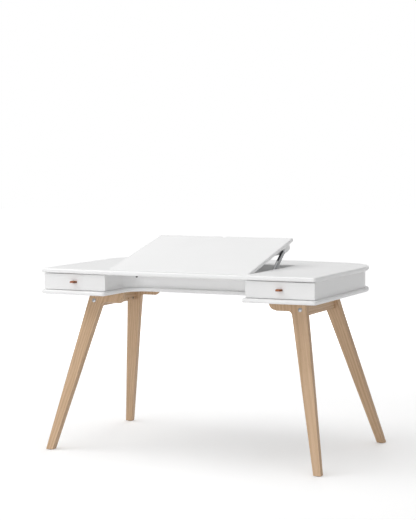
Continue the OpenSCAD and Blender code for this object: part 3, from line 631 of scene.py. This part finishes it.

# %% [markdown]
# ## The lacquered body
# The two boards are round on their long edges, so they get no bevel; only the window's rim would
# need one, and it is left as it is. The walls between them have crisp arrises that are broken by
# 0.6 mm.
# %% Body boards and walls
for name in ("top_board", "bottom_board"):
    dress(name, WHITE, ease=0, smooth=50)
paired_walls = [f"{wall}_{s}" for wall in ("side_wall", "partition") for s in both]
for name in ("back_wall", "recess_wall", "divider", *paired_walls):
    dress(name, WHITE, ease=0.6)
print("body dressed")

# %% [markdown]
# ## The tilting panel
# The panel is the same board as the top, with a finger notch in its back edge. Below it sit
# two wedge battens that carry the stays' upper pins. In the photograph the notch reads deeper
# than the measured one, so its wall is pushed further in along the panel's slope.
# %% Panel and battens
PANEL_TILT = math.radians(14.4)
NOTCH_REACH = 14.9 * MM
NOTCH_DEPTH = 9.5 * MM
NOTCH_PUSH = 1.6


def panel_mesh():
    """The panel with the wall of its notch pushed in by a share of its own depth."""
    mesh = joined_copy("tilt_panel")
    slope = Vector((0, math.cos(PANEL_TILT), math.sin(PANEL_TILT)))
    edge = max(vert.co.dot(slope) for vert in mesh.vertices)
    for vert in mesh.vertices:
        inset = edge - vert.co.dot(slope)
        if abs(vert.co.x) < NOTCH_REACH and inset < NOTCH_DEPTH:
            vert.co -= slope * inset * (NOTCH_PUSH - 1)
    return mesh


# The panel wears the darker copy of the lacquer, which is painted shade.
dress("tilt_panel", PANEL_SHADED_WHITE, ease=0, smooth=50, mesh=panel_mesh())
for s in both:
    dress(f"batten_{s}", WHITE, ease=1.2)
print("panel dressed")

# %% [markdown]
# ## Drawers
# The fronts are flat boards. Behind them the box is plywood, and a folded leather strap comes
# through a slot and is held by a pin behind the front. The strap takes its sizes from the
# measured one: its height gives the bend, and its nose says where the recipe starts. The upper
# edge of each front is lowered a little, for the dark line that the photograph shows above it.
# %% Drawers
LEATHER_T = 2.2 * MM
SHADOW_GAP = 1.8 * MM
UPPER_EDGE = 4 * MM


def front_mesh(node):
    """The front with its upper edge lowered by the shadow gap."""
    mesh = joined_copy(node)
    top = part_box(node)[1].z
    for vert in mesh.vertices:
        if vert.co.z > top - UPPER_EDGE:
            vert.co.z -= SHADOW_GAP
    return mesh


def pull_mesh(node):
    """The strap, laid in the box of the measured one."""
    low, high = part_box(node)
    bend = (high.z - low.z) / 2
    sizes = {"Width": high.x - low.x, "Thickness": LEATHER_T, "Gap": 2 * (bend - LEATHER_T)}
    mesh = STRAP.run(LEATHER, Reach=high.y - low.y - bend, **sizes)
    mesh.transform(Matrix.Translation(((low.x + high.x) / 2, low.y + bend, (low.z + high.z) / 2)))
    return mesh


for s in both:
    front, pull = f"drawer_front_{s}", f"drawer_pull_{s}"
    dress(front, WHITE, ease=0.8, steps=3, mesh=front_mesh(front))
    for part in ("side_inner", "side_outer", "back", "floor"):
        dress(f"drawer_{part}_{s}", BIRCH, ease=0.8)
    dress(f"drawer_runners_{s}", BIRCH, ease=0.4)
    dress(pull, LEATHER, ease=0, smooth=50, mesh=pull_mesh(pull))
    dress(f"drawer_pin_{s}", ZINC, ease=0.3)
print("drawers dressed")

# %% [markdown]
# ## Legs and rails
# Each leg is one oak board, so its grain has to run along the board whatever way the leg leans. The
# board's own three directions are found from the mesh: the line from foot to knee gives one, the
# normal of the leaning board is set square to it in the plane of depth and height, and the third is
# square to both. Each vertex then stores how far it lies along each of them, with a shift that
# gives every board a different piece of the tree.
# %% Grain along a board
SHIFT_ACROSS, SHIFT_ALONG = 19 * MM, 830 * MM
END_SLICE = 4 * MM
KNEE_HALF = 35 * MM


def set_grain(thing, along, through, shift):
    """Stores each vertex's place in the board, shifted to another piece of the tree."""
    mesh = thing.data
    along, through = Vector(along).normalized(), Vector(through).normalized()
    across = through.cross(along).normalized()
    points = np.empty(len(mesh.vertices) * 3, np.float32)
    mesh.vertices.foreach_get("co", points)
    points = points.reshape(-1, 3)
    centre = (points.min(0) + points.max(0)) / 2
    turned = (points - centre) @ np.array([across, through, along], np.float32).T
    turned = turned + np.array([shift * SHIFT_ACROSS, 0, shift * SHIFT_ALONG], np.float32)
    grain = mesh.attributes.new("grain", "FLOAT_VECTOR", "POINT")
    grain.data.foreach_set("vector", turned.astype(np.float32).ravel())


def leg_axes(node):
    """The direction from foot to knee, and the normal of the leaning board."""
    low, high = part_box(node)
    points = np.array([v.co for v in frame["nodes"][node].data.vertices])
    foot = points[points[:, 2] < low.z + END_SLICE].mean(0)
    knee = points[points[:, 2] > high.z - END_SLICE]
    outer = knee[np.abs(knee[:, 0]) > np.abs(knee[:, 0]).max() - END_SLICE].mean(0)
    inward = Vector((-math.copysign(KNEE_HALF, foot[0]), 0, 0))
    along = Vector(outer) + inward - Vector(foot)
    through = Vector((0, -along.z, along.y))
    return along, through


FIRST_LEG, FIRST_RAIL = 1, 6
legs = [f"leg_{row}_{s}" for row in ("front", "back") for s in both]
for shift, node in enumerate(legs, FIRST_LEG):
    leg = dress(node, OAK, ease=2.2, steps=3)
    along, through = leg_axes(node)
    set_grain(leg, along, through, shift)
    print(leg.name, "grain runs", [round(v, 2) for v in along.normalized()])
for shift, s in enumerate(both, FIRST_RAIL):
    rail = dress(f"rail_{s}", OAK, ease=1.5, steps=3)
    set_grain(rail, (0, 1, 0), (1, 0, 0), shift)

# %% [markdown]
# ## Steel fittings
# Hinges, stays and plates are small, so a bevel of a few tenths is enough. The toothed bar is
# laid on the line from its stud to the pin at the top of the channel. Its teeth are taller than
# the measured ones, because the photograph shows them as a zigzag. Bolts and screws keep the
# measured shafts' places: each shaft's long axis is found from its points, and its thicker end
# is where the head goes.
# %% Toothed bars
TOOTH = 5.4 * MM


def middle_of(node):
    low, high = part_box(node)
    return (low + high) / 2


def rack_mesh(s):
    """The toothed bar, laid from its stud towards the pin of the channel."""
    foot, pin = middle_of(f"stay_stud_{s}"), middle_of(f"stay_pin_{s}")
    low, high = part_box(f"stay_rack_{s}")
    lean = Matrix.Rotation(math.atan2(pin.z - foot.z, pin.y - foot.y), 4, "X")
    mesh = RACK.run(ZINC_WITH_PAINTED_SHEEN, Width=high.x - low.x, Tooth=TOOTH)
    mesh.transform(Matrix.Translation(((low.x + high.x) / 2, foot.y, foot.z)) @ lean)
    return mesh


for s in both:
    # The bar wears the paler zinc, a painted sheen for the glints on its teeth.
    dress(f"stay_rack_{s}", ZINC_WITH_PAINTED_SHEEN, ease=0.2, mesh=rack_mesh(s))
print("bars dressed")

# %% Bolts and screws
def islands(node):
    """The separate shafts of a node, each as an array of its points."""
    work = bmesh.new()
    work.from_mesh(frame["nodes"][node].data)
    bmesh.ops.remove_doubles(work, verts=work.verts, dist=MERGE)
    left, groups = set(work.verts), []
    while left:
        grown = [left.pop()]
        for vert in grown:
            near = {edge.other_vert(vert) for edge in vert.link_edges} & left
            left -= near
            grown.extend(near)
        groups.append(np.array([vert.co for vert in grown]))
    work.free()
    return groups


def shaft(points):
    """The middle of a shaft, the way its head looks, how far it reaches to the head and to
    the tip, and the radius of the head and of the shank."""
    centre = (points.min(0) + points.max(0)) / 2
    axis = np.linalg.svd(points - points.mean(0), full_matrices=False)[2][0]
    along = (points - centre) @ axis
    out = np.linalg.norm(points - centre - np.outer(along, axis), axis=1)
    head_up = out[along > 0].max() > out[along < 0].max()
    axis, along = (axis, along) if head_up else (-axis, -along)
    return centre, axis, along.max(), -along.min(), out[along > 0].max(), out[along < 0].max()


def headed(node, height, socket):
    """One mesh with every bolt of a node made again, with a head of that height."""
    whole = bmesh.new()
    for number, points in enumerate(islands(node)):
        centre, axis, up, down, wide, thin = shaft(points)
        seat = Vector(centre + axis * (up - height))
        sizes = {"Radius": float(wide), "Height": height, "Socket": socket, "Shank": float(thin)}
        long = float(up + down) - height
        whole.from_mesh(HEADS.run(ZINC, [seat], [axis], Length=long, Seed=number, **sizes))
    mesh = bpy.data.meshes.new(node)
    whole.to_mesh(mesh)
    whole.free()
    return mesh


bolt_mesh = headed("leg_bolts", height=3.2 * MM, socket=2.3 * MM)
dress("leg_bolts", BOLT_STEEL, ease=0, mesh=bolt_mesh)
screw_mesh = headed("frame_screws", height=3.0 * MM, socket=1.5 * MM)
dress("frame_screws", ZINC, ease=0, mesh=screw_mesh)
print("bolts", len(islands("leg_bolts")), "screws", len(islands("frame_screws")))

# %% Hinges, stays and plates
for name in ("hinge_strip_leaves", "hinge_panel_leaves", "hinge_pins"):
    dress(name, ZINC, ease=0.2)
for s in both:
    dress(f"stay_channel_{s}", DULL_STEEL, ease=0.35)
    for part in ("plate", "stud", "pin"):
        dress(f"stay_{part}_{s}", ZINC, ease=0.25)
dress("cross_nuts", PLASTIC, ease=0.3)
dress("foot_glides", PLASTIC, ease=0.5)
dress("wall_caps", PLASTIC, ease=0.5)
print("fittings dressed")

# %% [markdown]
# ## Floor and light
# The studio is a white sweep with soft boxes above, on the left, in front and behind. Light adds
# up, so each box was rendered alone and the strengths were solved for, so that together they
# come close to the tones of the photograph. The two boxes behind were then held lower, because
# the back wall has to stay below pure white. The floor would be grey without help, so for the
# camera and for reflections it also glows a little, and more so where the sweep runs up into
# the backdrop. The glow is added to what the lamps give, so the soft shadow stays.
# %% Floor
FLOOR_HALF = 20
GLOW_NEAR, GLOW_FAR = (0.20,) * 3, (0.72,) * 3
SWEEP_START, SWEEP_END = 1.6, 4.5


def floor_finish():
    sweep = Shade("white sweep", Base_Color=(0.80, 0.80, 0.80), Roughness=0.9)
    x, y = sweep.axes(sweep.place())[:2]
    glow = sweep.mix(((x * x + y * y) ** 0.5).ramp(SWEEP_START, SWEEP_END), GLOW_NEAR, GLOW_FAR)
    path = sweep.node("ShaderNodeLightPath")
    seen = Value(sweep, path.outputs["Is Camera Ray"]) + Value(sweep, path.outputs["Is Glossy Ray"])
    sockets = {"Color": glow, "Strength": seen.math("MINIMUM", 1)}
    light = sweep.node("ShaderNodeEmission", {}, sockets)
    sockets = {0: sweep.surface.outputs[0], 1: light.outputs[0]}
    both_in = sweep.node("ShaderNodeAddShader", {}, sockets)
    out = sweep.tree.nodes["Material Output"]
    sweep.put(out.inputs["Surface"], both_in.outputs[0])
    return sweep.material


floor_mesh = bpy.data.meshes.new("floor")
corners = [(x * FLOOR_HALF, y * FLOOR_HALF, 0) for x, y in ((-1, -1), (1, -1), (1, 1), (-1, 1))]
floor_mesh.from_pydata(corners, [], [(0, 1, 2, 3)])
floor_mesh.materials.append(floor_finish())
floor = bpy.data.objects.new("floor", floor_mesh)
scene.collection.objects.link(floor)
print("floor", 2 * FLOOR_HALF, "m wide")

# %% Dome
BACKDROP = 1.0


def dome(strength):
    """Lights the scene evenly with one strength, and shows the camera a white backdrop."""
    world = bpy.data.worlds.new("dome")
    world.use_nodes = True
    scene.world = world
    nodes, links = world.node_tree.nodes, world.node_tree.links
    path, pick = nodes.new("ShaderNodeLightPath"), nodes.new("ShaderNodeMixShader")
    links.new(path.outputs["Is Camera Ray"], pick.inputs[0])
    for number, level in ((1, strength), (2, BACKDROP)):
        sky = nodes.new("ShaderNodeBackground")
        sky.inputs["Color"].default_value = (1, 1, 1, 1)
        sky.inputs["Strength"].default_value = level
        links.new(sky.outputs[0], pick.inputs[number])
    links.new(pick.outputs[0], nodes["World Output"].inputs[0])


dome(strength=0.40)
print("dome", scene.world.name)

# %% Soft boxes
def soft_box(name, spot, target, size, watts, mirrored=True):
    lamp = bpy.data.lights.new(name, "AREA")
    lamp.shape, lamp.energy = "RECTANGLE", watts
    lamp.size, lamp.size_y = size
    thing = bpy.data.objects.new(name, lamp)
    thing.location = spot
    thing.rotation_euler = (Vector(target) - Vector(spot)).to_track_quat("-Z", "Y").to_euler()
    thing.visible_glossy = mirrored
    scene.collection.objects.link(thing)


LOW, MID, HIGH = (0, 0, 0.6), (0, 0, 0.7), (0, 0, 0.75)
soft_box("key", (-3.5, -1.5, 4.5), LOW, (3.5, 3.5), watts=100)
soft_box("overhead", (0.2, -0.4, 5.0), LOW, (4, 4), watts=85)
soft_box("front_high", (-1.5, -5.0, 3.6), MID, (4, 2.5), watts=61, mirrored=False)
soft_box("front_low", (0.3, -7.5, 1.0), MID, (5, 1.7), watts=97)
soft_box("back_high", (-0.8, 5.0, 1.9), MID, (3, 1.5), watts=50, mirrored=False)
soft_box("back_low", (0.8, 5.0, 1.1), HIGH, (5, 1.4), watts=52, mirrored=False)
scene.view_settings.view_transform = "Standard"
print("lights set")
